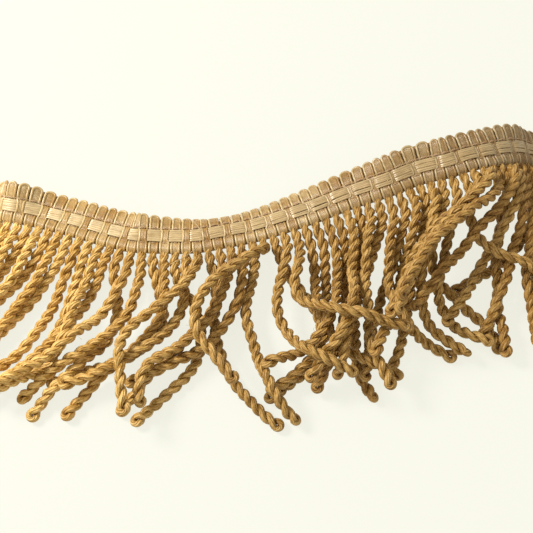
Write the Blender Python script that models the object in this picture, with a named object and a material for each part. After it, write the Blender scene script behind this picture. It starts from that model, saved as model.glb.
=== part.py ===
"""Cord fringe trim: a short length of bullion fringe lying in soft curves on a flat surface.

Three pieces: a ribbed woven heading, a satin band laid in a channel along it, and a skirt of sixty
cords fused at their roots into a narrow strip that runs along the heading's lower edge.
Sizes below are in millimetres and degrees; the meshes are made in metres, +Z up.
"""

from math import cos, pi, radians, sin

import bpy
import numpy as np

MM = 0.001

# The trim. One rib of the heading carries one cord.
RIBS = 60
RIB_PITCH = 4.4
HEADING_DEPTH = 16.8
CORD_LENGTH = 76.0
CORD_SIDE = 3.0
FLOOR = CORD_SIDE / 2

# Place of the layout's origin in the part's frame, which stands under the middle of the whole trim.
LAYOUT_SHIFT = (24.231, 0.720)

# The heading's lower edge from left to right: a row for each bend, with the height above the surface,
# the tilt that lifts the upper edge, and the curl that rolls the upper edge back down.
EDGE_COLUMNS = ("x", "y", "height", "tilt", "curl")
EDGE_ROWS = (
    (-123.0, 24.0, 1.0, 0, 0),
    (-118.5, 22.7, 1.0, 0, 0),
    (-114.0, 21.4, 1.2, 4, 0),
    (-105.2, 18.6, 4.0, 24, 0),
    (-91.2, 15.6, 4.4, -2, 0),
    (-77.2, 11.4, 4.7, -1, 0),
    (-63.9, 7.2, 5.0, 2, 4),
    (-50.6, 4.1, 6.0, 6, 10),
    (-43.1, 4.1, 5.4, 3, 20),
    (-34.0, 4.0, 5.4, 2, 32),
    (-25.1, 4.5, 5.6, 4, 46),
    (-17.0, 6.1, 5.8, 2, 52),
    (-4.6, 8.6, 6.2, 0, 44),
    (7.4, 12.0, 7.2, -1, 32),
    (20.5, 16.2, 8.5, 1, 22),
    (35.8, 21.5, 11.0, 3, 12),
    (50.6, 25.3, 14.0, 15, 5),
    (62.7, 29.5, 16.0, 16, 0),
    (72.5, 30.8, 18.5, 15, 0),
    (82.1, 33.7, 19.5, 6, 0),
    (89.5, 36.1, 18.0, 8, 0),
    (96.2, 39.2, 14.5, 15, 0),
    (102.4, 41.8, 10.5, 18, 0),
    (108.0, 43.6, 6.3, 12, 0),
    (112.5, 45.0, 2.8, 5, 0),
    (116.5, 45.9, 1.0, 0, 0),
    (120.0, 46.3, 1.0, 0, 0),
    (132.0, 47.0, 1.0, 0, 0),
)

# How finely the edge is sampled, how far apart the points that give its direction are, and the steps
# in which the curl is added up.
EDGE_SAMPLES = 4000
NEARBY = 0.6
CURL_STEPS = 16

# The cords, a row for each one that sets a new direction; those between two rows share their lean out.
# A lean is the angle away from straight down the page, positive to the left, at five places along the
# cord. The crest is how high the cord is held up along its upper half, and the end how high its tip is.
CORD_COLUMNS = ("cord", "root", "quarter", "half", "three_quarters", "tip", "crest", "end")
CORD_ROWS = (
    (0, 24, 34, 44, 58, 62, 0, 0),
    (1, 20, 28, 50, 66, 74, 0, 0),
    (2, 27, 38, 48, 58, 60, 0, 0),
    (3, 20, 26, 40, 62, 76, 0, 0),
    (4, 26, 36, 50, 64, 66, 0, 0),
    (5, 18, 22, 38, 60, 70, 0, 0),
    (6, 27, 36, 44, 56, 60, 0, 0),
    (7, 20, 24, 46, 66, 78, 0, 0),
    (8, 26, 34, 44, 56, 62, 0, 0),
    (9, 20, 22, 34, 54, 66, 0, 0),
    (10, 25, 28, 40, 58, 70, 0, 0),
    (11, 22, 13, 32, 52, 66, 0, 0),
    (12, 18, 9, 27, 54, 76, 0, 0),
    (13, 17, 15, 12, 56, 66, 1, 0),
    (14, 16, 25, 36, 50, 61, 0, 0),
    (15, -6, -8, 35, 48, 36, 0, 0),
    (16, 5, 32, 40, 57, 67, 4, 0),
    (17, -13, 19, 52, 57, 46, 6, 0),
    (18, -23, -16, 48, 77, 68, 0, 0),
    (19, -30, 8, 48, 46, 34, 3, 0),
    (20, -28, -32, 5, 50, 47, 0, 0),
    (21, -14, 13, 48, 62, 74, 4, 0),
    (22, 11, 39, 57, -5, -17, 11, 12),
    (23, -28, 3, -12, -40, -58, 0, 0),
    (24, -8, 18, 43, 50, 30, 5, 0),
    (25, -3, 20, 42, 58, -15, 7, 3),
    (26, -5, 13, 41, 63, 66, 6, 0),
    (27, 6, 14, -16, -24, -52, 4, 0),
    (28, 60, 58, 34, -31, -43, 15, 14),
    (29, -10, -44, -14, 40, 62, 0, 0),
    (30, 12, 20, -22, -51, -74, 7, 0),
    (31, 2, 14, -60, -79, -83, 10, 5),
    (32, -17, 3, -20, -55, -72, 1, 0),
    (33, -14, 0, -3, 42, 66, 0, 0),
    (34, -10, -5, 16, 57, 68, 5, 0),
    (35, -6, -3, 8, 20, 30, 1, 0),
    (36, 1, 2, 6, 33, 36, 3, 0),
    (37, 6, 6, 5, 2, -35, 0, 0),
    (38, 18, 11, -2, -8, -33, 2, 0),
    (39, 8, 24, 18, 13, 18, 1, 0),
    (40, 10, 12, -6, -52, -64, 3, 0),
    (41, 13, 19, 19, 13, 13, 0, 0),
    (42, 13, 14, 18, 19, 23, 2, 0),
    (43, 10, 10, 15, 12, 25, 0, 0),
    (44, 12, 13, 9, -21, -70, 4, 0),
    (45, 14, 26, -28, -58, -12, 1, 0),
    (46, 15, 15, 19, -36, -68, 5, 0),
    (47, 24, -16, -74, -50, -20, 11, 0),
    (48, 30, 53, 39, 21, 27, 13, 0),
    (49, 47, 44, 41, 29, 18, 17, 0),
    (50, 20, 49, 49, 39, 22, 22, 8),
    (51, 22, 10, 4, 2, -4, 2, 0),
    (52, -8, 43, 39, 43, 42, 16, 0),
    (53, 14, 23, 33, 33, 34, 6, 0),
    (54, 10, 12, 21, 22, 24, 3, 0),
    (55, 12, 11, 6, 1, -5, 0, 0),
    (57, 8, 10, 7, 6, 14, 1, 0),
    (58, 15, 30, 40, 55, 60, 0, 0),
    (59, 5, 8, 4, 0, -6, 2, 0),
)

# The heading's section, from its lower edge (0) to the tips of its scallops.
PIECE_GAP = 0.3
BACK = -1.0
RIB_TOP = 1.3
RIB_VALLEY = 0.7
CHANNEL = (4.4, 9.8)
CHANNEL_FLOOR = 0.0
SCALLOP = 1.0
RIB_ROUND = 0.5
RIB_STATIONS = (0.0, 0.28, 0.72)

# The satin band: it rises over one rib and dips under the next.
BAND = (4.75, 9.45)
BAND_THICK = 1.0
BAND_WAVE = 0.3

# The strip that the cords hang from, below the heading's lower edge.
STRIP_DEPTH = 2.0
STRIP_HALF_THICK = 0.9
STRIP_END = 0.4

# How the cords lie: the closest that two centre lines come, the steepest climb of one over another,
# the least share of a step that runs level, and how far along itself a cord rises before and after
# the one that it crosses.
CORD_APART = 3.8
STEEPEST = 0.6
LEAST_RUN = 0.3
CORD_SEGMENTS = 18
STEPS_IN_SEGMENT = 5
STEPS = CORD_SEGMENTS * STEPS_IN_SEGMENT
REACH = 4
ROOT_TURN = 12.0
ROOT_CLIMB = 6.0
FALL_START = 10.0
FALL_RATE = 2.2
CREST_FULL = 0.25
CREST_LEAVE = 0.45
CREST_OVER = 0.9

COLOURS = {
    "heading": ((0.62, 0.47, 0.25, 1.0), 0.55),
    "satin_band": ((0.80, 0.68, 0.42, 1.0), 0.30),
    "cord_fringe": ((0.50, 0.28, 0.08, 1.0), 0.60),
}


def ease(value):
    """A smooth step from 0 to 1."""
    value = np.clip(value, 0.0, 1.0)
    return value * value * (3 - 2 * value)


def smooth_edge():
    """The edge's rows joined by a smooth curve: length along it, and its columns at each sample."""
    rows = np.array(EDGE_ROWS, float)
    chord = np.r_[0, np.cumsum(np.linalg.norm(np.diff(rows[:, :3], axis=0), axis=1))]
    slope = np.gradient(rows, chord, axis=0)
    level = np.diff(rows, axis=0) == 0
    slope[1:][level] = 0
    slope[:-1][level] = 0
    t = np.linspace(0, chord[-1], EDGE_SAMPLES)
    k = np.clip(np.searchsorted(chord, t, side="right") - 1, 0, len(chord) - 2)
    span = (chord[k + 1] - chord[k])[:, None]
    u = (t - chord[k])[:, None] / span
    line = (2 * u**3 - 3 * u**2 + 1) * rows[k]
    line += (u**3 - 2 * u**2 + u) * span * slope[k]
    line += (3 * u**2 - 2 * u**3) * rows[k + 1]
    line += (u**3 - u**2) * span * slope[k + 1]
    along = np.r_[0, np.cumsum(np.linalg.norm(np.diff(line[:, :3], axis=0), axis=1))]
    return along, line


EDGE_ALONG, EDGE_LINE = smooth_edge()


def edge_at(s):
    """The edge's five columns at length s along it."""
    return np.array([np.interp(s, EDGE_ALONG, EDGE_LINE[:, c]) for c in range(len(EDGE_COLUMNS))])


def edge_frame(s):
    """Place, tilt and curl at s, the level direction across the edge, and the one that faces up."""
    here = edge_at(s)
    run = edge_at(min(s + NEARBY, EDGE_ALONG[-1]))[:3] - edge_at(max(s - NEARBY, 0.0))[:3]
    run /= np.linalg.norm(run)
    across = np.array([-run[1], run[0], 0.0])
    across /= np.linalg.norm(across)
    return here[:3], radians(here[3]), radians(here[4]), across, np.cross(run, across)


def tape_point(s, depth, lift):
    """The point at length s, at a depth up the tape from its lower edge, lifted off its middle."""
    place, tilt, curl, across, up = edge_frame(s)

    def angle(v):
        return tilt - curl * ease((v - CHANNEL[0]) / (HEADING_DEPTH - CHANNEL[0]))

    piece = depth / CURL_STEPS
    for k in range(CURL_STEPS):
        turn = angle((k + 0.5) * piece)
        place = place + piece * (cos(turn) * across + sin(turn) * up)
    turn = angle(depth)
    return place + lift * (cos(turn) * up - sin(turn) * across)


def cord_row(cord):
    """The table's columns for one cord, shared out between the two rows beside it."""
    for low, high in zip(CORD_ROWS, CORD_ROWS[1:]):
        if low[0] <= cord <= high[0]:
            share = (cord - low[0]) / (high[0] - low[0])
            return dict(zip(CORD_COLUMNS, (a + (b - a) * share for a, b in zip(low, high))))
    raise ValueError(cord)


def cord_plan(cord):
    """Root, leans and heights of one cord before it is laid on the others."""
    s = (cord + 0.5) * RIB_PITCH
    root = tape_point(s, -STRIP_DEPTH, 0.0)
    out = root - tape_point(s, 0.0, 0.0)
    start = np.degrees(np.arctan2(-out[0], -out[1]))
    row = cord_row(cord)
    along = np.linspace(0, CORD_LENGTH, STEPS + 1)
    share = along / CORD_LENGTH
    lean = np.interp(share, np.linspace(0, 1, 5), [row[c] for c in CORD_COLUMNS[1:6]])
    lean = start + (lean - start) * ease(along / ROOT_TURN)
    fall = FALL_START + FALL_RATE * (root[2] - FLOOR)
    height = FLOOR + (root[2] - FLOOR) * (1 - ease(along / fall))
    leaving = ease((share - CREST_LEAVE) / (CREST_OVER - CREST_LEAVE))
    held = FLOOR + row["crest"] * ease(share / CREST_FULL) * (1 - leaving) + row["end"] * leaving
    height = np.maximum(height, held)
    return {"root": root, "along": along, "lean": lean, "height": height, "crest": row["crest"]}


def windows(values, reach):
    """Each value with its neighbours on both sides, as rows."""
    padded = np.pad(values, reach, mode="edge")
    return np.array([padded[k : k + len(values)] for k in range(2 * reach + 1)])


def lay_cord(plan, laid):
    """The route of one cord over the points of those already laid."""
    along = plan["along"]
    step = along[1] - along[0]
    middle = np.radians((plan["lean"][1:] + plan["lean"][:-1]) / 2)
    height = plan["height"]
    for _ in range(3):
        run = step * np.sqrt(np.clip(1 - np.gradient(height, step) ** 2, LEAST_RUN, 1.0))[1:]
        x = plan["root"][0] - np.r_[0, np.cumsum(np.sin(middle) * run)]
        y = plan["root"][1] - np.r_[0, np.cumsum(np.cos(middle) * run)]
        need = plan["height"].copy()
        if len(laid):
            near = np.hypot(laid[:, 0] - x[:, None], laid[:, 1] - y[:, None]) / CORD_APART
            over = laid[:, 2] + CORD_APART * np.clip(1 - near**4, 0, 1) ** 0.25
            need = np.maximum(need, np.where(near < 1, over, 0.0).max(axis=1))
        need = windows(need, REACH).max(axis=0)
        for k in range(1, len(need)):
            need[k] = max(need[k], need[k - 1] - STEEPEST * step)
        for k in range(len(need) - 2, -1, -1):
            need[k] = max(need[k], need[k + 1] - STEEPEST * step)
        need = windows(need, REACH).mean(axis=0)
        height = plan["root"][2] + (need - plan["root"][2]) * ease(along / ROOT_CLIMB)
        height = np.maximum(height, FLOOR)
    return np.column_stack((x, y, height))


def lay_cords():
    """Every cord's route, laid from the lowest crest to the highest, even ones before odd ones."""
    plans = [cord_plan(cord) for cord in range(RIBS)]
    order = sorted(range(RIBS), key=lambda c: (round(plans[c]["crest"]), c % 2, c))
    routes = {}
    laid = np.zeros((0, 3))
    for cord in order:
        routes[cord] = lay_cord(plans[cord], laid)
        laid = np.vstack((laid, routes[cord]))
    return routes


def make_object(name, points, faces):
    """A named mesh object from points in millimetres, with its own material."""
    shift = np.array((*LAYOUT_SHIFT, 0.0))
    mesh = bpy.data.meshes.new(name)
    mesh.from_pydata([tuple((p + shift) * MM) for p in np.asarray(points)], [], faces)
    mesh.validate()
    colour, roughness = COLOURS[name]
    material = bpy.data.materials.new(name)
    material.use_nodes = True
    shader = material.node_tree.nodes["Principled BSDF"]
    shader.inputs["Base Color"].default_value = colour
    shader.inputs["Roughness"].default_value = roughness
    shader.inputs["Metallic"].default_value = 0.0
    mesh.materials.append(material)
    obj = bpy.data.objects.new(name, mesh)
    bpy.context.collection.objects.link(obj)
    return obj


def skin(rings):
    """Points and faces of a closed body through rings of the same number of points."""
    count = len(rings[0])
    faces = []
    for k in range(len(rings) - 1):
        for j in range(count):
            n = (j + 1) % count
            faces.append((k * count + j, (k + 1) * count + j, (k + 1) * count + n, k * count + n))
    last = (len(rings) - 1) * count
    faces.append(tuple(range(count)))
    faces.append(tuple(last + j for j in reversed(range(count))))
    return [p for ring in rings for p in ring], faces


def heading_section(top, tip):
    """The heading's outline at one station, as depth and lift, up over its face and back."""
    start, end = CHANNEL
    middle = (start + end) / 2
    return (
        (PIECE_GAP, BACK),
        (PIECE_GAP, top - RIB_ROUND),
        (PIECE_GAP + RIB_ROUND, top),
        (start - PIECE_GAP, top),
        (start, CHANNEL_FLOOR),
        (middle, CHANNEL_FLOOR),
        (end, CHANNEL_FLOOR),
        (end + PIECE_GAP, top),
        (tip - 2 * RIB_ROUND, top),
        (tip, top - 2 * RIB_ROUND),
        (tip - RIB_ROUND, BACK),
        (middle, BACK),
    )


def make_heading():
    """The woven tape: flat-topped ribs side by side, a channel along it, scalloped upper edge."""
    rings = []
    for rib in range(RIBS + 1):
        for share in RIB_STATIONS if rib < RIBS else (0.0,):
            valley = share == 0.0
            top = RIB_VALLEY if valley else RIB_TOP
            tip = HEADING_DEPTH - (SCALLOP if valley else 0.0)
            s = (rib + share) * RIB_PITCH
            rings.append([tape_point(s, v, w) for v, w in heading_section(top, tip)])
    return make_object("heading", *skin(rings))


def make_band():
    """The satin band in the channel, waving over one rib and under the next."""
    rings = []
    low, high = BAND
    middle = (low + high) / 2
    for half in range(2 * RIBS + 1):
        s = half * RIB_PITCH / 2
        under = CHANNEL_FLOOR + PIECE_GAP + BAND_WAVE * (1 - cos(pi * half / 2)) / 2
        over = under + BAND_THICK
        outline = ((low, under), (low, over), (middle, over), (high, over), (high, under), (middle, under))
        rings.append([tape_point(s, v, w) for v, w in outline])
    return make_object("satin_band", *skin(rings))


def cord_ring(here, ahead):
    """The four corners of a cord's section, its flat side down, clockwise seen along the cord."""
    ahead = ahead / np.linalg.norm(ahead)
    side = np.array([-ahead[1], ahead[0], 0.0])
    side /= np.linalg.norm(side)
    up = np.cross(ahead, side)
    half = CORD_SIDE / 2
    return [here + half * (a * side + b * up) for a, b in ((-1, -1), (-1, 1), (1, 1), (1, -1))]


def make_fringe():
    """The skirt: sixty cords that stand apart, their roots fused into one narrow strip."""
    corners = ((-STRIP_DEPTH, -1), (-STRIP_DEPTH, 1), (0.0, 1), (0.0, -1))
    stations = [STRIP_END]
    for cord in range(RIBS):
        middle = (cord + 0.5) * RIB_PITCH
        stations += [middle - CORD_SIDE / 2, middle + CORD_SIDE / 2]
    stations.append(RIBS * RIB_PITCH - STRIP_END)
    rings = [[tape_point(s, v, w * STRIP_HALF_THICK) for v, w in corners] for s in stations]
    points, faces = skin(rings)
    routes = lay_cords()
    for cord in range(RIBS):
        left, right = 4 * (2 * cord + 1), 4 * (2 * cord + 2)
        faces.remove((left, right, right + 1, left + 1))
        ring = (left, left + 1, right + 1, right)
        nodes = routes[cord][::STEPS_IN_SEGMENT]
        ahead = np.gradient(nodes, axis=0)
        for k in range(1, len(nodes)):
            first = len(points)
            points += cord_ring(nodes[k], ahead[k])
            new = tuple(range(first, first + 4))
            for j in range(4):
                n = (j + 1) % 4
                faces.append((ring[j], new[j], new[n], ring[n]))
            ring = new
        faces.append(ring[::-1])
    return make_object("cord_fringe", points, faces)


def main():
    for obj in list(bpy.data.objects):
        bpy.data.objects.remove(obj, do_unlink=True)
    make_heading()
    make_band()
    make_fringe()


main()
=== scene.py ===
# Cord fringe trim: woven heading, satin band and twisted cords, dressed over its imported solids.
import math

import bpy
import numpy as np
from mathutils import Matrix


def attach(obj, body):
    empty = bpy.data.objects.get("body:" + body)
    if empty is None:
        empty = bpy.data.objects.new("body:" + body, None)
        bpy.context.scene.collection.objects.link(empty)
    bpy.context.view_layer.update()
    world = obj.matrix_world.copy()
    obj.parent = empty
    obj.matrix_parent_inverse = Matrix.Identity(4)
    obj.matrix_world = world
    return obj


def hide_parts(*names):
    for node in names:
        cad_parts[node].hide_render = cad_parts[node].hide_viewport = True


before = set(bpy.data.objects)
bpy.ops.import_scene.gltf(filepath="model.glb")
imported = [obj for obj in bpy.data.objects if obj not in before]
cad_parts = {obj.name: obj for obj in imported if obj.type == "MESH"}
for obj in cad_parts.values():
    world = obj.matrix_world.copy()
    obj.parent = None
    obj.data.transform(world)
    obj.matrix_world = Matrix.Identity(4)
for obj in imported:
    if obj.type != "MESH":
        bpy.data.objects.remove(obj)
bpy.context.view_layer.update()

mm = 0.001

# The trim's own sizes in millimetres, as its solids have them.
trim = {
    "ribs": 60,
    "ribPitch": 4.4,
    "depth": 16.8,
    "cordLength": 76.0,
    "rootDrop": 2.0,  # a cord's solid starts this far below the tape
    "curlStart": 4.4,  # how far up the tape its upper part starts to roll over
    "place": (24.231, 0.720, 0.0),  # the layout's origin in the part's frame
}
tapeLength = trim["ribs"] * trim["ribPitch"]

# How the tape and the cords are laid, as in the solids.
laying = {
    "edgeSamples": 4000,
    "nearby": 0.6,
    "curlSteps": 16,
    "steps": 90,
    "floorHeight": 1.5,  # a cord's centre line above the surface
    "apart": 3.8,
    "roundness": 4,  # how a cord rides over another: 2 would be a circle, more is squarer
    "steepest": 0.6,
    "leastRun": 0.3,
    "reach": 4,
    "rounds": 3,
    "rootTurn": 12.0,
    "rootClimb": 6.0,
    "fall": 10.0,  # how soon a cord comes down from the tape, and how much later for each mm of height
    "fallByHeight": 2.2,
    "heldBy": 0.25,  # shares of the cord's length
    "leaveFrom": 0.45,
}

# The heading's lower edge: x, y, height above the surface, tilt and curl in degrees.
edgeRows = (
    (-123.0, 24.0, 1.0, 0, 0),
    (-118.5, 22.7, 1.0, 0, 0),
    (-114.0, 21.4, 1.2, 4, 0),
    (-105.2, 18.6, 4.0, 24, 0),
    (-91.2, 15.6, 4.4, -2, 0),
    (-77.2, 11.4, 4.7, -1, 0),
    (-63.9, 7.2, 5.0, 2, 4),
    (-50.6, 4.1, 6.0, 6, 10),
    (-43.1, 4.1, 5.4, 3, 20),
    (-34.0, 4.0, 5.4, 2, 32),
    (-25.1, 4.5, 5.6, 4, 46),
    (-17.0, 6.1, 5.8, 2, 52),
    (-4.6, 8.6, 6.2, 0, 44),
    (7.4, 12.0, 7.2, -1, 32),
    (20.5, 16.2, 8.5, 1, 22),
    (35.8, 21.5, 11.0, 3, 12),
    (50.6, 25.3, 14.0, 15, 5),
    (62.7, 29.5, 16.0, 16, 0),
    (72.5, 30.8, 18.5, 15, 0),
    (82.1, 33.7, 19.5, 6, 0),
    (89.5, 36.1, 18.0, 8, 0),
    (96.2, 39.2, 14.5, 15, 0),
    (102.4, 41.8, 10.5, 18, 0),
    (108.0, 43.6, 6.3, 12, 0),
    (112.5, 45.0, 2.8, 5, 0),
    (116.5, 45.9, 1.0, 0, 0),
    (120.0, 46.3, 1.0, 0, 0),
    (132.0, 47.0, 1.0, 0, 0),
)

# The cords: number, lean at five places along it in degrees, how high it is held, how high it ends.
cordRows = (
    (0, 24, 34, 44, 58, 62, 0, 0),
    (1, 20, 28, 50, 66, 74, 0, 0),
    (2, 27, 38, 48, 58, 60, 0, 0),
    (3, 20, 26, 40, 62, 76, 0, 0),
    (4, 26, 36, 50, 64, 66, 0, 0),
    (5, 18, 22, 38, 60, 70, 0, 0),
    (6, 27, 36, 44, 56, 60, 0, 0),
    (7, 20, 24, 46, 66, 78, 0, 0),
    (8, 26, 34, 44, 56, 62, 0, 0),
    (9, 20, 22, 34, 54, 66, 0, 0),
    (10, 25, 28, 40, 58, 70, 0, 0),
    (11, 22, 13, 32, 52, 66, 0, 0),
    (12, 18, 9, 27, 54, 76, 0, 0),
    (13, 17, 15, 12, 56, 66, 1, 0),
    (14, 16, 25, 36, 50, 61, 0, 0),
    (15, -6, -8, 35, 48, 36, 0, 0),
    (16, 5, 32, 40, 57, 67, 4, 0),
    (17, -13, 19, 52, 57, 46, 6, 0),
    (18, -23, -16, 48, 77, 68, 0, 0),
    (19, -30, 8, 48, 46, 34, 3, 0),
    (20, -28, -32, 5, 50, 47, 0, 0),
    (21, -14, 13, 48, 62, 74, 4, 0),
    (22, 11, 39, 57, -5, -17, 11, 12),
    (23, -28, 3, -12, -40, -58, 0, 0),
    (24, -8, 18, 43, 50, 30, 5, 0),
    (25, -3, 20, 42, 58, -15, 7, 3),
    (26, -5, 13, 41, 63, 66, 6, 0),
    (27, 6, 14, -16, -24, -52, 4, 0),
    (28, 60, 58, 34, -31, -43, 15, 14),
    (29, -10, -44, -14, 40, 62, 0, 0),
    (30, 12, 20, -22, -51, -74, 7, 0),
    (31, 2, 14, -60, -79, -83, 10, 5),
    (32, -17, 3, -20, -55, -72, 1, 0),
    (33, -14, 0, -3, 42, 66, 0, 0),
    (34, -10, -5, 16, 57, 68, 5, 0),
    (35, -6, -3, 8, 20, 30, 1, 0),
    (36, 1, 2, 6, 33, 36, 3, 0),
    (37, 6, 6, 5, 2, -35, 0, 0),
    (38, 18, 11, -2, -8, -33, 2, 0),
    (39, 8, 24, 18, 13, 18, 1, 0),
    (40, 10, 12, -6, -52, -64, 3, 0),
    (41, 13, 19, 19, 13, 13, 0, 0),
    (42, 13, 14, 18, 19, 23, 2, 0),
    (43, 10, 10, 15, 12, 25, 0, 0),
    (44, 12, 13, 9, -21, -70, 4, 0),
    (45, 14, 26, -28, -58, -12, 1, 0),
    (46, 15, 15, 19, -36, -68, 5, 0),
    (47, 24, -16, -74, -50, -20, 11, 0),
    (48, 30, 53, 39, 21, 27, 13, 0),
    (49, 47, 44, 41, 29, 18, 17, 0),
    (50, 20, 49, 49, 39, 22, 22, 8),
    (51, 22, 10, 4, 2, -4, 2, 0),
    (52, -8, 43, 39, 43, 42, 16, 0),
    (53, 14, 23, 33, 33, 34, 6, 0),
    (54, 10, 12, 21, 22, 24, 3, 0),
    (55, 12, 11, 6, 1, -5, 0, 0),
    (57, 8, 10, 7, 6, 14, 1, 0),
    (58, 15, 30, 40, 55, 60, 0, 0),
    (59, 5, 8, 4, 0, -6, 2, 0),
)


def ease(value):
    value = np.clip(value, 0.0, 1.0)
    return value * value * (3 - 2 * value)


def unit(rows):
    return rows / np.linalg.norm(rows, axis=-1, keepdims=True)


def lengthAlong(line):
    return np.r_[0, np.cumsum(np.linalg.norm(np.diff(line, axis=0), axis=1))]


def smoothEdge():
    rows = np.array(edgeRows, float)
    chord = lengthAlong(rows[:, :3])
    slope = np.gradient(rows, chord, axis=0)
    level = np.diff(rows, axis=0) == 0
    slope[1:][level] = 0
    slope[:-1][level] = 0
    t = np.linspace(0, chord[-1], laying["edgeSamples"])
    k = np.clip(np.searchsorted(chord, t, side="right") - 1, 0, len(chord) - 2)
    span = (chord[k + 1] - chord[k])[:, None]
    u = (t - chord[k])[:, None] / span
    line = (2 * u**3 - 3 * u**2 + 1) * rows[k]
    line += (u**3 - 2 * u**2 + u) * span * slope[k]
    line += (3 * u**2 - 2 * u**3) * rows[k + 1]
    line += (u**3 - u**2) * span * slope[k + 1]
    return lengthAlong(line[:, :3]), line


edgeAlong, edgeLine = smoothEdge()


def edgeAt(s):
    return np.stack([np.interp(s, edgeAlong, column) for column in edgeLine.T], axis=-1)


# Points on the tape: length along it, depth up it from the lower edge, lift off its middle.
def tapePoints(s, depth, lift):
    s, depth, lift = np.broadcast_arrays(*(np.asarray(a, float) for a in (s, depth, lift)))
    here = edgeAt(s)
    tilt, curl = np.radians(here[..., 3]), np.radians(here[..., 4])
    after = edgeAt(np.minimum(s + laying["nearby"], edgeAlong[-1]))
    before = edgeAt(np.maximum(s - laying["nearby"], 0))
    run = unit((after - before)[..., :3])
    across = unit(np.stack([-run[..., 1], run[..., 0], np.zeros_like(s)], axis=-1))
    up = np.cross(run, across)

    def lean(v):
        turn = tilt - curl * ease((v - trim["curlStart"]) / (trim["depth"] - trim["curlStart"]))
        return np.cos(turn)[..., None], np.sin(turn)[..., None]

    place = here[..., :3]
    steps = laying["curlSteps"]
    for k in range(steps):
        c, n = lean((k + 0.5) * depth / steps)
        place = place + (depth / steps)[..., None] * (c * across + n * up)
    c, n = lean(depth)
    return place + lift[..., None] * (c * up - n * across)


def cordRow(cord):
    for low, high in zip(cordRows, cordRows[1:]):
        if low[0] <= cord <= high[0]:
            share = (cord - low[0]) / (high[0] - low[0])
            return [a + (b - a) * share for a, b in zip(low, high)]


def cordPlan(cord):
    s = (cord + 0.5) * trim["ribPitch"]
    root = tapePoints(s, -trim["rootDrop"], 0.0)
    out = root - tapePoints(s, 0.0, 0.0)
    start = np.degrees(np.arctan2(-out[0], -out[1]))
    _, *leans, hold, end = cordRow(cord)
    along = np.linspace(0, trim["cordLength"], laying["steps"] + 1)
    share = along / trim["cordLength"]
    lean = np.interp(share, np.linspace(0, 1, len(leans)), leans)
    lean = start + (lean - start) * ease(along / laying["rootTurn"])
    low = laying["floorHeight"]
    fall = laying["fall"] + laying["fallByHeight"] * (root[2] - low)
    height = low + (root[2] - low) * (1 - ease(along / fall))
    leaving = ease((share - laying["leaveFrom"]) / laying["leaveFrom"])
    held = low + hold * ease(share / laying["heldBy"]) * (1 - leaving) + end * leaving
    height = np.maximum(height, held)
    return {"root": root, "along": along, "lean": lean, "height": height, "crest": hold}


def neighbours(values):
    reach = laying["reach"]
    padded = np.pad(values, reach, mode="edge")
    return np.array([padded[k : k + len(values)] for k in range(2 * reach + 1)])


def layCord(plan, laid):
    root, along = plan["root"], plan["along"]
    step = along[1] - along[0]
    middle = np.radians((plan["lean"][1:] + plan["lean"][:-1]) / 2)
    height = plan["height"]
    apart, power, drop = laying["apart"], laying["roundness"], laying["steepest"] * step
    for _ in range(laying["rounds"]):
        run = step * np.sqrt(np.clip(1 - np.gradient(height, step) ** 2, laying["leastRun"], 1.0))[1:]
        x = root[0] - np.r_[0, np.cumsum(np.sin(middle) * run)]
        y = root[1] - np.r_[0, np.cumsum(np.cos(middle) * run)]
        need = plan["height"].copy()
        if len(laid):
            near = np.hypot(laid[:, 0] - x[:, None], laid[:, 1] - y[:, None]) / apart
            over = laid[:, 2] + apart * np.clip(1 - near**power, 0, 1) ** (1 / power)
            need = np.maximum(need, np.where(near < 1, over, 0.0).max(axis=1))
        need = neighbours(need).max(axis=0)
        for k in range(1, len(need)):
            need[k] = max(need[k], need[k - 1] - drop)
        for k in range(len(need) - 2, -1, -1):
            need[k] = max(need[k], need[k + 1] - drop)
        need = neighbours(need).mean(axis=0)
        height = root[2] + (need - root[2]) * ease(along / laying["rootClimb"])
        height = np.maximum(height, laying["floorHeight"])
    return np.column_stack((x, y, height))


# Each cord is laid over those before it, from the lowest held to the highest.
def layCords():
    plans = [cordPlan(cord) for cord in range(trim["ribs"])]
    order = sorted(range(trim["ribs"]), key=lambda c: (round(plans[c]["crest"]), c % 2, c))
    routes = [None] * trim["ribs"]
    laid = np.zeros((0, 3))
    for cord in order:
        routes[cord] = layCord(plans[cord], laid)
        laid = np.vstack((laid, routes[cord]))
    print("cords laid")
    return np.array(routes)


def squareTo(ahead, side):
    return unit(side - (side * ahead).sum(-1, keepdims=True) * ahead)


# A frame that turns as little as it can along each path, for paths of shape (tubes, points, 3).
def steadyFrames(paths):
    ahead = unit(np.gradient(paths, axis=1))
    start = paths[:, 1] - paths[:, 0]
    steep = 0.9  # a path that starts steeper than this is turned by X, not by Z
    hint = np.where(np.abs(unit(start)[:, 2:]) >= steep, [1.0, 0.0, 0.0], [0.0, 0.0, 1.0])
    side = np.zeros_like(paths)
    side[:, 0] = squareTo(ahead[:, 0], np.cross(start, hint))
    for k in range(1, paths.shape[1]):
        side[:, k] = squareTo(ahead[:, k], side[:, k - 1])
    return side, np.cross(ahead, side)


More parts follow.
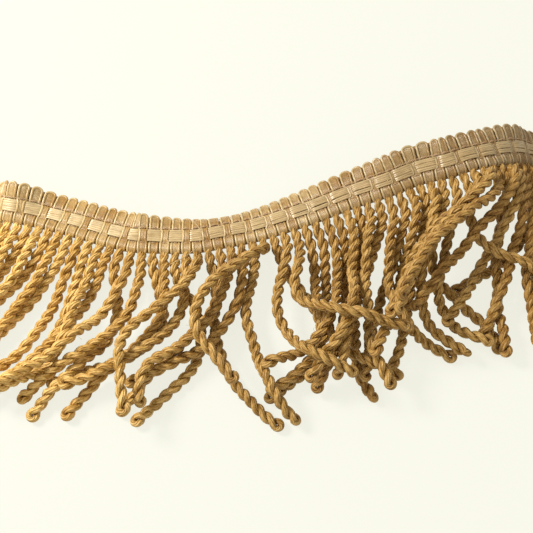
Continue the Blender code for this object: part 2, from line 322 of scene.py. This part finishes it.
# Closed tubes, each a ring of points at every station. UV runs once round, and by the millimetre along.
def tubeFaces(tubes, count, sides, along):
    j = np.arange(sides)
    k = np.arange(count - 1)[:, None]
    after = (j + 1) % sides
    quad = [k * sides + j, k * sides + after, (k + 1) * sides + after, (k + 1) * sides + j]
    quad = np.stack(quad, axis=-1).reshape(-1, 4)
    u = np.tile(np.stack([j, j + 1, j + 1, j], axis=-1) / sides, (count - 1, 1))
    corners, faceSizes, uvs = [], [], []
    for tube in range(tubes):
        base = tube * count * sides
        corners += [(quad + base).ravel(), base + j[::-1], base + (count - 1) * sides + j]
        faceSizes += [np.full(len(quad), 4), [sides], [sides]]
        near, far = np.repeat(along[tube, :-1], sides), np.repeat(along[tube, 1:], sides)
        uvs.append(np.stack([u, np.stack([near, near, far, far], axis=-1)], axis=-1).reshape(-1, 2))
        uvs += [np.column_stack((j / sides, np.full(sides, along[tube, end]))) for end in (0, -1)]
    return [np.concatenate(a) for a in (corners, faceSizes, uvs)]


def tubeMesh(name, paths, wide, tall, sides, tone, frames=None):
    tubes, count, _ = paths.shape
    side, up = frames or steadyFrames(paths)
    turn = 2 * math.pi * np.arange(sides) / sides
    wide, tall = (np.broadcast_to(a, paths.shape[:2])[..., None, None] for a in (wide, tall))
    ring = paths[:, :, None] + wide * np.cos(turn)[:, None] * side[:, :, None]
    ring = ring + tall * np.sin(turn)[:, None] * up[:, :, None]
    points = (ring.reshape(-1, 3) + trim["place"]) * mm
    step = np.linalg.norm(np.diff(paths, axis=1), axis=2)
    along = np.concatenate([np.zeros((tubes, 1)), np.cumsum(step, axis=1)], axis=1)
    corners, faceSizes, uvs = tubeFaces(tubes, count, sides, along)
    mesh = bpy.data.meshes.new(name)
    mesh.vertices.add(len(points))
    mesh.vertices.foreach_set("co", points.ravel())
    mesh.loops.add(len(corners))
    mesh.loops.foreach_set("vertex_index", corners.astype(np.int32))
    mesh.polygons.add(len(faceSizes))
    mesh.polygons.foreach_set("loop_start", np.r_[0, np.cumsum(faceSizes)[:-1]].astype(np.int32))
    mesh.polygons.foreach_set("loop_total", faceSizes.astype(np.int32))
    mesh.uv_layers.new(name="UVMap").data.foreach_set("uv", uvs.ravel())
    tones = mesh.attributes.new("tone", "FLOAT", "POINT")
    tone = np.broadcast_to(np.reshape(tone, (tubes, -1)), (tubes, count))
    tones.data.foreach_set("value", np.repeat(tone.ravel(), sides))
    mesh.update(calc_edges=True)
    return mesh


def finishPiece(mesh, material, slotName, *nodes):
    mesh.shade_smooth()
    mesh.materials.append(material)
    piece = bpy.data.objects.new(mesh.name, mesh)
    bpy.context.collection.objects.link(piece)
    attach(piece, "root")
    if nodes:
        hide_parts(*nodes)
    print(piece.name, len(mesh.loops) - 2 * len(mesh.polygons), "triangles")
    return piece


# A small steady value from -1 to 1 for each number, the same on every run.
def scatter(number, salt):
    wave = np.sin(np.asarray(number, float) * 12.9898 + salt * 78.233) * 43758.5453
    return 2 * (wave - np.floor(wave)) - 1


def pick(number, salt, low, high):
    return low + (scatter(number, salt) + 1) / 2 * (high - low)


# The weave gets tighter along the tape: one value at its left, and one at its right.
weaveChange = {"from": 22, "over": 12}


def alongTape(rib, ends):
    share = ease((rib - weaveChange["from"]) / weaveChange["over"])
    return ends[0] + (ends[1] - ends[0]) * share


def addNode(tree, kind, place, **values):
    node = tree.nodes.new(kind)
    node.location = place
    for key, value in values.items():
        if hasattr(node, key):
            setattr(node, key, value)
        else:
            node.inputs[key].default_value = value
    return node


def mathNode(tree, operation, place, *values):
    node = addNode(tree, "ShaderNodeMath", place, operation=operation)
    for socket, value in zip(node.inputs, values):
        if isinstance(value, (int, float)):
            socket.default_value = value
        else:
            tree.links.new(value, socket)
    return node.outputs[0]


def rangeNode(tree, place, value, fromEnds=(0, 1), toEnds=(0, 1)):
    node = addNode(tree, "ShaderNodeMapRange", place)
    names = ("From Min", "From Max", "To Min", "To Max")
    for name, end in zip(names, (*fromEnds, *toEnds)):
        node.inputs[name].default_value = end
    tree.links.new(value, node.inputs["Value"])
    return node.outputs[0]


def tintNode(tree, place, amount, colour, tint):
    node = addNode(tree, "ShaderNodeMix", place, data_type="RGBA", blend_type="MULTIPLY")
    node.inputs["B"].default_value = (*tint, 1)
    tree.links.new(amount, node.inputs["Factor"])
    tree.links.new(colour, node.inputs["A"])
    return node.outputs["Result"]


threadLook = {
    "ridge": 0.18,  # how far a thread's even ridge stands out of the noise
    "toneShift": 37.0,
    "patchScale": 70.0,
    "patchTone": 0.18,
    "patchEnds": (0.4, 0.72),
    # where the painted shade between the plies is full and where it ends
    "plyShadeEnds": (0.25, 0.12),  # in turns, from the middle of the side that faces the other ply
}


# Threads that wind round a yarn: streaks and ridges from its UV map, a slow change of tone, and a mask for
# the painted shade where one ply faces the other.
def makeThreadGroup():
    look = threadLook
    tree = bpy.data.node_groups.new("yarnThreads", "ShaderNodeTree")
    face = tree.interface
    for name in ("Threads", "Slant", "Streak"):
        face.new_socket(name=name, in_out="INPUT", socket_type="NodeSocketFloat")
    for name in ("Ridge", "Shade", "Patch", "PlyShade"):
        face.new_socket(name=name, in_out="OUTPUT", socket_type="NodeSocketFloat")
    inlet = addNode(tree, "NodeGroupInput", (-1100, 0))
    outlet = addNode(tree, "NodeGroupOutput", (600, 0))
    uv = addNode(tree, "ShaderNodeUVMap", (-1100, 260), uv_map="UVMap")
    parts = addNode(tree, "ShaderNodeSeparateXYZ", (-920, 260))
    tree.links.new(uv.outputs[0], parts.inputs[0])
    tone = addNode(tree, "ShaderNodeAttribute", (-1100, -260), attribute_name="tone").outputs["Fac"]
    around = mathNode(tree, "MULTIPLY", (-740, 300), parts.outputs["X"], inlet.outputs["Threads"])
    slanted = mathNode(tree, "MULTIPLY_ADD", (-560, 300), parts.outputs["Y"], inlet.outputs["Slant"], around)
    slow = mathNode(tree, "MULTIPLY", (-740, 120), parts.outputs["Y"], inlet.outputs["Streak"])
    shift = mathNode(tree, "MULTIPLY", (-740, -260), tone, look["toneShift"])
    spot = addNode(tree, "ShaderNodeCombineXYZ", (-380, 200))
    for socket, value in zip(spot.inputs, (slanted, slow, shift)):
        tree.links.new(value, socket)
    streaks = addNode(tree, "ShaderNodeTexNoise", (-200, 260), Scale=1.0, Detail=2.0, Roughness=0.6)
    tree.links.new(spot.outputs[0], streaks.inputs["Vector"])
    wave = mathNode(tree, "SINE", (-200, 60), mathNode(tree, "MULTIPLY", (-380, 60), slanted, 2 * math.pi))
    ridge = mathNode(tree, "MULTIPLY_ADD", (0, 60), wave, look["ridge"], streaks.outputs["Fac"])
    # painted shade: a mask for the side that faces the other ply, which the material darkens
    turned = mathNode(tree, "SUBTRACT", (-740, 480), parts.outputs["X"], 0.5)
    inward = mathNode(tree, "ABSOLUTE", (-560, 480), turned)
    hollow = rangeNode(tree, (-380, 480), inward, look["plyShadeEnds"])
    coord = addNode(tree, "ShaderNodeTexCoord", (-560, -160))
    patch = addNode(tree, "ShaderNodeTexNoise", (-200, -160), Detail=3.0, Roughness=0.6)
    patch.inputs["Scale"].default_value = look["patchScale"]
    tree.links.new(coord.outputs["Object"], patch.inputs["Vector"])
    mixed = mathNode(tree, "MULTIPLY_ADD", (0, -160), tone, look["patchTone"], patch.outputs["Fac"])
    for value, socket in zip((ridge, streaks.outputs["Fac"], mixed, hollow), outlet.inputs):
        tree.links.new(value, socket)
    return tree


threadGroup = makeThreadGroup()


def yarnMaterial(name, look):
    material = bpy.data.materials.new(name)
    material.use_nodes = True
    tree = material.node_tree
    shader = tree.nodes["Principled BSDF"]
    threads = addNode(tree, "ShaderNodeGroup", (-900, 0), node_tree=threadGroup)
    for key in ("Threads", "Slant", "Streak"):
        threads.inputs[key].default_value = look[key.lower()]
    ramp = addNode(tree, "ShaderNodeValToRGB", (-600, 200))
    for stop, end, colour in zip(ramp.color_ramp.elements, look["rampEnds"], (look["dark"], look["light"])):
        stop.position = end
        stop.color = (*colour, 1)
    tree.links.new(threads.outputs["Shade"], ramp.inputs[0])
    # painted shade: towards the trim's right end the colour is tinted darker and browner, as if less light
    # fell there, so the left end stays brighter and more golden than the right
    coord = addNode(tree, "ShaderNodeTexCoord", (-1200, -300))
    parts = addNode(tree, "ShaderNodeSeparateXYZ", (-1020, -300))
    tree.links.new(coord.outputs["Object"], parts.inputs[0])
    across = rangeNode(tree, (-840, -300), parts.outputs["X"], look["paintedShadeEnds"])
    colour = tintNode(tree, (-360, 160), across, ramp.outputs["Color"], look["paintedShade"])
    amount = rangeNode(tree, (-600, -60), threads.outputs["Patch"], threadLook["patchEnds"])
    colour = tintNode(tree, (-180, 160), amount, colour, look["patch"])
    # painted shade: the side of each ply that faces the other ply is darkened by the hollow tint
    colour = tintNode(tree, (0, 160), threads.outputs["PlyShade"], colour, look["hollow"])
    tree.links.new(colour, shader.inputs["Base Color"])
    rough = rangeNode(tree, (-600, -300), threads.outputs["Shade"], toEnds=look["rough"])
    tree.links.new(rough, shader.inputs["Roughness"])
    bump = addNode(tree, "ShaderNodeBump", (-300, -400), Strength=look["bump"])
    bump.inputs["Distance"].default_value = look["bumpDepth"] * mm
    tree.links.new(threads.outputs["Ridge"], bump.inputs["Height"])
    tree.links.new(bump.outputs[0], shader.inputs["Normal"])
    shader.inputs["Sheen Weight"].default_value = look["sheen"]
    shader.inputs["Sheen Roughness"].default_value = look["sheenRough"]
    shader.inputs["Sheen Tint"].default_value = (*look["light"], 1)
    shader.inputs["Specular IOR Level"].default_value = look["gloss"]
    return material


# What the yarns share. Lengths are in millimetres, and the ends of the painted shade in metres along the
# part's X.
plainFinish = {
    "rampEnds": (0.3, 0.66),
    "paintedShadeEnds": (-0.05, 0.10),
    "hollow": (1.0, 1.0, 1.0),
    "bump": 0.5,
    "sheen": 0.0,
    "sheenRough": 0.4,
}

cordLook = {
    "plyRadius": 1.26,
    "plySpread": 0.035,
    "windRadius": 1.0,
    "twistPitch": 9.2,
    "pitchSpread": 0.07,
    "startSpread": 0.7,
    "twistSway": (0.5, 14, 5),  # size, waves and spread of its start, in radians
    "stepsPerTurn": 16,
    "sides": 12,
    "loopRadius": 1.36,
    "loopLength": 4.5,
    "loopStretch": 1.15,
    "loopSteps": 9,
    "rootPoints": ((1.2, -0.7), (0.2, -0.5), (-0.8, -0.3)),  # depth and lift on the tape
    "rootLength": 4,
    "rootWind": 0.5,
    "gatherLength": 6.0,
    "taper": (0.5, 0.7, 0.85, 0.95),
    "lift": 0.5,  # a round cord is thicker than its solid, so its middle lies higher
    "liftSteps": 8,
    "rounding": 3,
    "wander": 0.35,
    "wanderRise": 5,
    "sways": ((1.0, 9.0, 6.0), (0.6, 23.0, 6.0)),  # size, waves and spread of its start
    "press": 0.97,  # the height of the lowest middle line, in radii
    "perPiece": 20,
}
cordFinish = {
    **plainFinish,
    "threads": 8.0,
    "slant": 0.8,
    "streak": 0.30,
    "dark": (0.42, 0.22, 0.022),
    "light": (0.92, 0.62, 0.22),
    "rampEnds": (0.38, 0.58),
    "paintedShade": (0.53, 0.48, 0.40),
    "paintedShadeEnds": (-0.09, 0.01),
    "patch": (0.82, 0.74, 0.58),
    # painted shade on the side of each ply that faces the other ply
    "hollow": (0.50, 0.38, 0.20),
    "rough": (0.66, 0.50),
    "bump": 1.0,
    "bumpDepth": 0.6,
    "gloss": 0.42,
}


# The middle line of each whole cord, from inside the tape to its tip, in even steps.
def cordLines(routes):
    look = cordLook
    s = (np.arange(len(routes)) + 0.5) * trim["ribPitch"]
    root = np.stack([tapePoints(s, v, w) for v, w in look["rootPoints"]], axis=1)
    line = np.concatenate([root, routes[:, 1:] + [0, 0, look["lift"]]], axis=1)
    lifted = ease(np.arange(1, laying["steps"] + 1) / look["liftSteps"])
    line[:, root.shape[1]:, 2] -= look["lift"] * (1 - lifted)
    steps = int(round((trim["cordLength"] + look["rootLength"]) / look["twistPitch"] * look["stepsPerTurn"]))
    even = np.zeros((len(routes), steps, 3))
    length = np.zeros(len(routes))
    for c, points in enumerate(line):
        along = lengthAlong(points)
        length[c] = along[-1]
        t = np.linspace(0, along[-1], steps)
        for axis in range(3):
            even[c, :, axis] = np.interp(t, along, points[:, axis])
    # the corners of the route are rounded, its ends kept
    for _ in range(look["rounding"]):
        even[:, 1:-1] = (even[:, :-2] + 2 * even[:, 1:-1] + even[:, 2:]) / 4
    return even, length


def headings(line):
    ahead = unit(np.gradient(line, axis=1))
    return ahead, unit(np.stack([-ahead[..., 1], ahead[..., 0], np.zeros(line.shape[:2])], axis=-1))


def plyPaths(routes):
    look = cordLook
    cords = np.arange(len(routes))
    even, length = cordLines(routes)
    share = np.linspace(0, 1, even.shape[1])
    side = headings(even)[1]
    sway = 0
    for salt, (size, waves, start) in enumerate(look["sways"], 1):
        sway = sway + size * np.sin(share * waves + start * scatter(cords, salt)[:, None])
    even = even + (look["wander"] * sway * ease(share * look["wanderRise"]))[..., None] * side
    ahead, side = headings(even)
    up = np.cross(ahead, side)
    # both plies wind round the middle line, opposite each other
    pitch = look["twistPitch"] * (1 + look["pitchSpread"] * scatter(cords, 3))[:, None]
    left = (1 - share) * length[:, None]
    phase = look["startSpread"] * scatter(cords, 4)[:, None] - 2 * math.pi * left / pitch
    size, waves, start = look["twistSway"]
    phase = phase + size * np.sin(share * waves + start * scatter(cords, 5)[:, None])
    swell = ease(1 - left / look["loopLength"])
    gather = look["rootWind"] + (1 - look["rootWind"]) * ease(share * length[:, None] / look["gatherLength"])
    wind = look["windRadius"] * gather + (look["loopRadius"] - look["windRadius"]) * swell
    out = np.cos(phase)[..., None] * side + np.sin(phase)[..., None] * up
    there = even + wind[..., None] * out
    back = even - wind[..., None] * out
    # and turn round into each other at the tip
    turn = np.linspace(0, math.pi, look["loopSteps"] + 2)[1:-1]
    outward, onward = np.cos(turn)[:, None] * out[:, -1:], np.sin(turn)[:, None] * ahead[:, -1:]
    loop = even[:, -1:] + look["loopRadius"] * (outward + look["loopStretch"] * onward)
    paths = np.concatenate([there, loop, back[:, ::-1]], axis=1)
    radius = look["plyRadius"] * (1 + look["plySpread"] * scatter(cords, 6))
    thick = radius[:, None] * np.ones(paths.shape[:2])
    thick[:, : len(look["taper"])] *= look["taper"]
    thick[:, -len(look["taper"]) :] *= look["taper"][::-1]
    # nothing sinks into the surface
    paths[..., 2] = np.maximum(paths[..., 2], thick * look["press"])
    ahead = unit(np.gradient(paths, axis=1))
    facing = squareTo(ahead, np.concatenate([out, outward + onward, -out[:, ::-1]], axis=1))
    return paths, thick, facing, np.cross(ahead, facing)


def makeCords(routes):
    material = yarnMaterial("rayonCord", cordFinish)
    paths, thick, side, up = plyPaths(routes)
    made = []
    for k, name in enumerate(("cordsLeft", "cordsMiddle", "cordsRight")):
        few = slice(k * cordLook["perPiece"], (k + 1) * cordLook["perPiece"])
        tone = scatter(np.arange(few.start, few.stop), 7)
        frames = side[few], up[few]
        mesh = tubeMesh(name, paths[few], thick[few], thick[few], cordLook["sides"], tone, frames)
        made.append(finishPiece(mesh, material, "cord", "cord_fringe"))
    return made


ribLook = {
    "threadRadius": 0.30,
    "rimRadius": 0.54,
    "loops": (1.58, 0.92, 0.54, 0.18),  # half the width of each nested loop of thread, the rim first
    "rimLift": 0.28,
    "halfWidth": 1.95,
    "low": 0.30,
    "high": 0.95,
    "tipFrom": 14.4,
    "tipOver": 2.2,
    "tipDrop": 0.55,
    "footTo": 1.4,
    "footDrop": 0.9,
    "footNarrow": 0.2,
    "footNarrowTo": 1.6,
    "pinches": (4.3, 10.2),  # where the stitches draw a rib down
    "pinchWidth": 0.6,
    "pinchDrop": 0.35,
    "bandFrom": 4.5,
    "bandTo": 9.9,
    "bandEdge": 0.9,
    "underBand": -0.55,
    "underNarrow": 0.1,
    "overBand": (0.35, -0.25),
    "overNarrow": (0.34, 0.70),
    "sway": (0.10, 0.5, 3),  # size, waves and spread of its start
    "steps": 26,
    "tipSteps": 9,
    "sides": 6,
    # painted highlight: the rim's side that faces the light on the left gets this paler tone
    "rimHighlightTone": -0.9,  # the left side and tip of the outer loop are paler than the rest
    "coreTone": 0.75,
    "toneSpread": 0.2,
    "highlightTo": -0.5,
    "highlightOver": 1.8,
}
ribFinish = {
    **plainFinish,
    "threads": 5.0,
    "slant": 0.9,
    "streak": 0.12,
    "dark": (0.37, 0.245, 0.09),
    "light": (0.68, 0.51, 0.245),
    "paintedShade": (0.66, 0.66, 0.72),
    "patch": (0.62, 0.47, 0.24),
    "rough": (0.40, 0.32),
    "bump": 0.25,
    "bumpDepth": 0.05,
    "gloss": 0.65,
}


# One loop of thread in a rib. Odd ribs cross over the band, even ones pass under it.
def ribThread(rib, half, v, offset):
    look = ribLook
    arch = np.sqrt(np.clip(1 - (offset / look["halfWidth"]) ** 2, 0, 1))
    arch = look["low"] + (look["high"] - look["low"]) * arch
    if half == look["loops"][0]:
        arch = arch + look["rimLift"]
    for pinch in look["pinches"]:
        arch = arch * (1 - look["pinchDrop"] * np.exp(-(((v - pinch) / look["pinchWidth"]) ** 2)))
    arch = arch * (1 - look["tipDrop"] * ease((v - look["tipFrom"]) / look["tipOver"]))
    arch = arch - look["footDrop"] * (1 - ease(v / look["footTo"]))
    edge = look["bandEdge"]
    inBand = ease((v - look["bandFrom"]) / edge) * (1 - ease((v - look["bandTo"] + edge) / edge))
    if rib % 2 == 1:
        narrow = alongTape(rib, look["overNarrow"])
        lift = arch + alongTape(rib, look["overBand"]) * inBand
    else:
        narrow = look["underNarrow"]
        lift = arch + (look["underBand"] - arch) * inBand
    spread = 1 - narrow * inBand - look["footNarrow"] * (1 - ease(v / look["footNarrowTo"]))
    size, waves, start = look["sway"]
    sway = size * scatter(rib, 11) * np.sin(v * waves + start * scatter(rib, 12))
    return tapePoints((rib + 0.5) * trim["ribPitch"] + offset * spread + sway, v, lift)


def makeRibs():
    look = ribLook
    paths, tones = [], []
    for half in look["loops"]:
        straight = trim["depth"] - half - look["threadRadius"]
        up = np.linspace(0.0, straight, look["steps"])
        turn = np.linspace(0, math.pi, look["tipSteps"] + 2)[1:-1]
        v = np.concatenate([up, straight + half * np.sin(turn), up[::-1]])
        offset = np.concatenate([np.full(len(up), -half), -half * np.cos(turn), np.full(len(up), half)])
        for rib in range(trim["ribs"]):
            paths.append(ribThread(rib, half, v, offset))
            core = np.full(len(v), look["coreTone"] + look["toneSpread"] * scatter(rib, 13))
            # painted highlight: the rim's left side and tip, where the light from the left falls, get a
            # paler tone
            if half == look["loops"][0]:
                core += (look["rimHighlightTone"] - core) * (1 - ease((offset - look["highlightTo"]) / look["highlightOver"]))
            tones.append(core)
    radius = np.full((len(paths), 1), look["threadRadius"])
    radius[: trim["ribs"]] = look["rimRadius"]
    mesh = tubeMesh("ribs", np.array(paths), radius, radius, look["sides"], np.array(tones))
    return finishPiece(mesh, yarnMaterial("champagneGimp", ribFinish), "heading")


bandLook = {
    "yarns": ((5.15, 0), (5.95, -1), (6.75, 1), (7.55, 0), (8.35, 0), (9.15, 0)),  # depth, side of the slit
    "endGap": 0.3,
    "wide": 0.52,
    "tall": 0.24,
    "over": 1.25,
    "under": (0.25, 0.55),
    "dipWidth": 0.26,
    "crown": 0.16,
    "middle": 7.15,
    "halfDepth": 2.4,
    "slit": 0.16,
    "slitSpread": 0.08,
    "scatter": 0.07,
    "sway": (0.05, 0.11),  # size and waves
    "stepsPerRib": 7,
    "sides": 8,
}
bandFinish = {
    **plainFinish,
    "threads": 6.0,
    "slant": 0.05,
    "streak": 0.22,
    "dark": (0.40, 0.285, 0.13),
    "light": (0.70, 0.55, 0.30),
    "rampEnds": (0.28, 0.62),
    "paintedShade": (0.63, 0.58, 0.51),
    "paintedShadeEnds": (-0.12, 0.06),
    "patch": (0.94, 0.90, 0.84),
    "rough": (0.44, 0.30),
    "bumpDepth": 0.10,
    "gloss": 0.8,
}


def makeBand():
    look = bandLook
    s = np.linspace(look["endGap"], tapeLength - look["endGap"], trim["ribs"] * look["stepsPerRib"])
    rib = s / trim["ribPitch"]
    # 0 in the middle of each odd rib, which the band passes under, and 1 between them
    over = 1 - np.exp(-(((rib % 2 - 1.5) / look["dipWidth"]) ** 2))
    low = alongTape(rib, look["under"])
    crossing = np.floor(rib / 2)
    slit = alongTape(rib, (0, 1)) * (look["slit"] + look["slitSpread"] * scatter(crossing, 21))
    size, waves = look["sway"]
    nudge = 0.1
    paths, sides = [], []
    for k, (depth, half) in enumerate(look["yarns"]):
        moved = look["scatter"] * scatter(crossing * 7 + k, 22)
        v = depth + (slit * half + moved) * over + size * np.sin(s * waves + k)
        crown = look["crown"] * (1 - ((depth - look["middle"]) / look["halfDepth"]) ** 2)
        w = low + (look["over"] + crown - low) * over
        paths.append(tapePoints(s, v, w))
        sides.append(tapePoints(s, v + nudge, w) - paths[-1])
    paths = np.array(paths)
    ahead = unit(np.gradient(paths, axis=1))
    side = squareTo(ahead, np.array(sides))
    tones = scatter(np.arange(len(paths)), 23)
    frames = side, np.cross(ahead, side)
    mesh = tubeMesh("satinBand", paths, look["wide"], look["tall"], look["sides"], tones, frames)
    return finishPiece(mesh, yarnMaterial("satinRayon", bandFinish), "satin_band", "satin_band")


stitchLook = {
    "rows": ((10.35, 1.20, 0.24, 0.16), (4.25, 0.80, 0.10, 0.13)),  # depth, lift, sway, radius
    "length": 2.2,
    "endGap": 0.2,
    "hollow": 0.30,
    "bounce": 0.12,
    "steps": 8,
    "sides": 5,
}
stitchFinish = {
    **plainFinish,
    "threads": 3.0,
    "slant": 2.5,
    "streak": 0.4,
    "dark": (0.36, 0.22, 0.11),
    "light": (0.62, 0.44, 0.26),
    "paintedShade": (0.86, 0.82, 0.80),
    "patch": (0.9, 0.85, 0.8),
    "rough": (0.55, 0.40),
    "bumpDepth": 0.06,
    "sheen": 0.1,
    "gloss": 0.5,
}


def makeStitches():
    look = stitchLook
    count = int(tapeLength / look["length"] * look["steps"])
    s = np.linspace(look["endGap"], tapeLength - look["endGap"], count)
    turn = 2 * math.pi * s / look["length"]
    # drawn into the hollow between two ribs
    hollow = look["hollow"] * np.cos(2 * math.pi * s / trim["ribPitch"])
    paths, radii = [], []
    for depth, lift, sway, radius in look["rows"]:
        for way in (0, math.pi):
            w = lift - hollow + look["bounce"] * np.sin(2 * turn + way)
            paths.append(tapePoints(s, depth + sway * np.sin(turn + way), w))
            radii.append([radius])
    radii = np.array(radii)
    tones = scatter(np.arange(len(paths)), 31)
    mesh = tubeMesh("bindingStitches", np.array(paths), radii, radii, look["sides"], tones)
    return finishPiece(mesh, yarnMaterial("bindingThread", stitchFinish), "heading")


groundLook = {
    "from": 0.15,
    "to": 16.0,
    "top": -0.15,
    "back": -0.72,
    "backRib": 0.26,
    "thinEdge": 0.4,
    "stationsPerRib": 6,
    "across": 12,
    "weaveRepeats": 20,
}
groundFinish = {
    **plainFinish,
    "threads": 26.0,
    "slant": 0.0,
    "streak": 0.5,
    "dark": (0.26, 0.15, 0.06),
    "light": (0.46, 0.30, 0.14),
    "paintedShade": (0.8, 0.74, 0.66),
    "patch": (0.9, 0.86, 0.8),
    "rough": (0.6, 0.45),
    "bump": 0.6,
    "bumpDepth": 0.12,
    "sheen": 0.2,
    "gloss": 0.4,
}


def makeGround():
    look = groundLook
    s = np.linspace(0.0, tapeLength, trim["ribs"] * look["stationsPerRib"] + 1)
    v = np.linspace(look["from"], look["to"], look["across"])
    rounding = np.ones(len(v))
    rounding[0] = rounding[-1] = look["thinEdge"]
    middle = (look["top"] + look["back"]) / 2
    grid, depth = np.meshgrid(s, v, indexing="ij")
    ribbed = look["back"] - look["backRib"] * np.abs(np.sin(math.pi * grid / trim["ribPitch"]))
    top = tapePoints(grid, depth, middle + (look["top"] - middle) * rounding)
    under = tapePoints(grid, depth, middle + (ribbed - middle) * rounding)
    rings = np.concatenate([top, under[:, ::-1]], axis=1)
    around = rings.shape[1]
    points = (rings.reshape(-1, 3) + trim["place"]) * mm
    faces = []
    for k in range(len(s) - 1):
        for j in range(around):
            n = (j + 1) % around
            faces.append((k * around + j, (k + 1) * around + j, (k + 1) * around + n, k * around + n))
    last = (len(s) - 1) * around
    faces += [tuple(range(around)), tuple(last + j for j in reversed(range(around)))]
    mesh = bpy.data.meshes.new("groundTape")
    mesh.from_pydata([tuple(p) for p in points], [], faces)
    corners = np.zeros(len(mesh.loops), np.int32)
    mesh.loops.foreach_get("vertex_index", corners)
    length = np.repeat(s, around) / tapeLength * look["weaveRepeats"]
    uv = np.column_stack((length, np.tile(np.r_[v, v[::-1]], len(s))))[corners]
    mesh.uv_layers.new(name="UVMap").data.foreach_set("uv", uv.ravel())
    return finishPiece(mesh, yarnMaterial("wovenGround", groundFinish), "heading", "heading")


strayLook = {
    "radius": 0.055,
    "sides": 4,
    "steps": 14,
    "count": 26,
    "starts": (8, 78),  # between which of the cord's steps a filament comes loose
    "turn": 3.0,
    "reach": (0.8, 3.6),
    "bow": ((1.2, 3.2), (1.0, 2.4)),  # size and bend along x and along y
    "above": 1.6,
    "rise": 1.2,
    "looseRadius": 0.13,
    # one loose thread that falls from the band over the cords
    "loose": (
        (-29.4, 17.0, 9.0),
        (-25.6, 12.0, 9.6),
        (-26.6, 6.0, 8.6),
        (-32.0, 1.5, 8.0),
        (-38.0, -1.5, 7.4),
    ),
}


def makeStrays(routes):
    look = strayLook
    t = np.linspace(0, 1, look["steps"])
    (bowX, bendX), (bowY, bendY) = look["bow"]
    paths = []
    for k in range(look["count"]):
        x, y, z = routes[int(pick(k, 41, 0, trim["ribs"] - 1)), int(pick(k, 42, *look["starts"]))]
        turn, reach = look["turn"] * scatter(k, 43), pick(k, 44, *look["reach"])
        x = x + reach * t * math.cos(turn) + bowX * np.sin(bendX * t + k)
        y = y + reach * t * math.sin(turn) + bowY * np.sin(bendY * t + 2 * k)
        z = z + look["above"] + look["rise"] * t * (1 + scatter(k, 45))
        paths.append(np.column_stack((x, y, z)))
    loose = np.array(look["loose"])
    t = np.linspace(0, len(loose) - 1, look["steps"])
    paths.append(np.column_stack([np.interp(t, np.arange(len(loose)), axis) for axis in loose.T]))
    tones = scatter(np.arange(len(paths)), 46)
    radius = np.full((len(paths), 1), look["radius"])
    radius[-1] = look["looseRadius"]
    mesh = tubeMesh("strayFilaments", np.array(paths), radius, radius, look["sides"], tones)
    return finishPiece(mesh, bpy.data.materials["satinRayon"], "satin_band")


routes = layCords()
cords = makeCords(routes)
ground = makeGround()
ribs = makeRibs()
band = makeBand()
stitches = makeStitches()
strays = makeStrays(routes)

stageLook = {
    "floorSize": 6.0,
    "floorLevel": -0.0002,
    "floorColour": (0.10, 0.10, 0.095),
    "floorRough": 0.9,
    "grainScale": 900.0,
    "grainShade": 0.99,
    "glowColour": (1.0, 1.0, 0.88),
    "glow": 0.795,
    "skyColour": (1.0, 0.96, 0.86),
    "skyStrength": 0.78,
    "keyPlace": (-0.52, 0.20, 0.50),
    "keyColour": (1.0, 0.97, 0.90),
    "keySize": 0.20,
    "keyPower": 7.0,
    "cameraDistance": 0.380,
    "cameraElevation": 67.0,
    "focalPixels": 950.0,
    "photoWidth": 533.0,
    "raise": 2.0,  # in pixels
    "nearest": 0.01,
}


def makeFloor():
    look = stageLook
    bpy.ops.object.select_all(action="DESELECT")
    bpy.ops.mesh.primitive_plane_add(size=look["floorSize"], location=(0, 0, look["floorLevel"]))
    floor = bpy.context.object
    floor.name = "surface"
    material = bpy.data.materials.new("paleSurface")
    material.use_nodes = True
    tree = material.node_tree
    shader = tree.nodes["Principled BSDF"]
    shader.inputs["Roughness"].default_value = look["floorRough"]
    shader.inputs["Emission Color"].default_value = (*look["glowColour"], 1)
    shader.inputs["Emission Strength"].default_value = look["glow"]
    grain = addNode(tree, "ShaderNodeTexNoise", (-400, 0), Scale=look["grainScale"], Detail=2.0)
    coord = addNode(tree, "ShaderNodeTexCoord", (-600, 0))
    tree.links.new(coord.outputs["Object"], grain.inputs["Vector"])
    tint = addNode(tree, "ShaderNodeMix", (-200, 0), data_type="RGBA")
    tint.inputs["A"].default_value = (*(look["grainShade"] * part for part in look["floorColour"]), 1)
    tint.inputs["B"].default_value = (*look["floorColour"], 1)
    tree.links.new(grain.outputs["Fac"], tint.inputs["Factor"])
    tree.links.new(tint.outputs["Result"], shader.inputs["Base Color"])
    floor.data.materials.append(material)


def makeLight(aim):
    look = stageLook
    world = bpy.data.worlds.new("softRoom")
    world.use_nodes = True
    sky = world.node_tree.nodes["Background"]
    sky.inputs["Color"].default_value = (*look["skyColour"], 1)
    sky.inputs["Strength"].default_value = look["skyStrength"]
    bpy.context.scene.world = world
    place = aim + look["keyPlace"]
    x, y, z = aim - place
    turned = (math.atan2(math.hypot(x, y), -z), 0, math.atan2(-x, y))
    bpy.ops.object.light_add(type="AREA", location=place, rotation=turned)
    key = bpy.context.object
    key.name = "keyLight"
    key.data.size = look["keySize"]
    key.data.energy = look["keyPower"]
    key.data.color = look["keyColour"]


def makeCamera(aim):
    look = stageLook
    tilt = math.radians(look["cameraElevation"])
    away = look["cameraDistance"] * np.array([0, -math.cos(tilt), math.sin(tilt)])
    bpy.ops.object.camera_add(location=aim + away, rotation=(math.pi / 2 - tilt, 0, 0))
    camera = bpy.context.object
    camera.data.angle = 2 * math.atan(look["photoWidth"] / 2 / look["focalPixels"])
    camera.data.clip_start = look["nearest"]
    camera.data.shift_y = look["raise"] / look["photoWidth"]
    bpy.context.scene.camera = camera
    bpy.context.scene.view_settings.view_transform = "Standard"


makeFloor()
layoutOrigin = np.array(trim["place"]) * mm
makeLight(layoutOrigin)
makeCamera(layoutOrigin)
print("stage, light and camera")
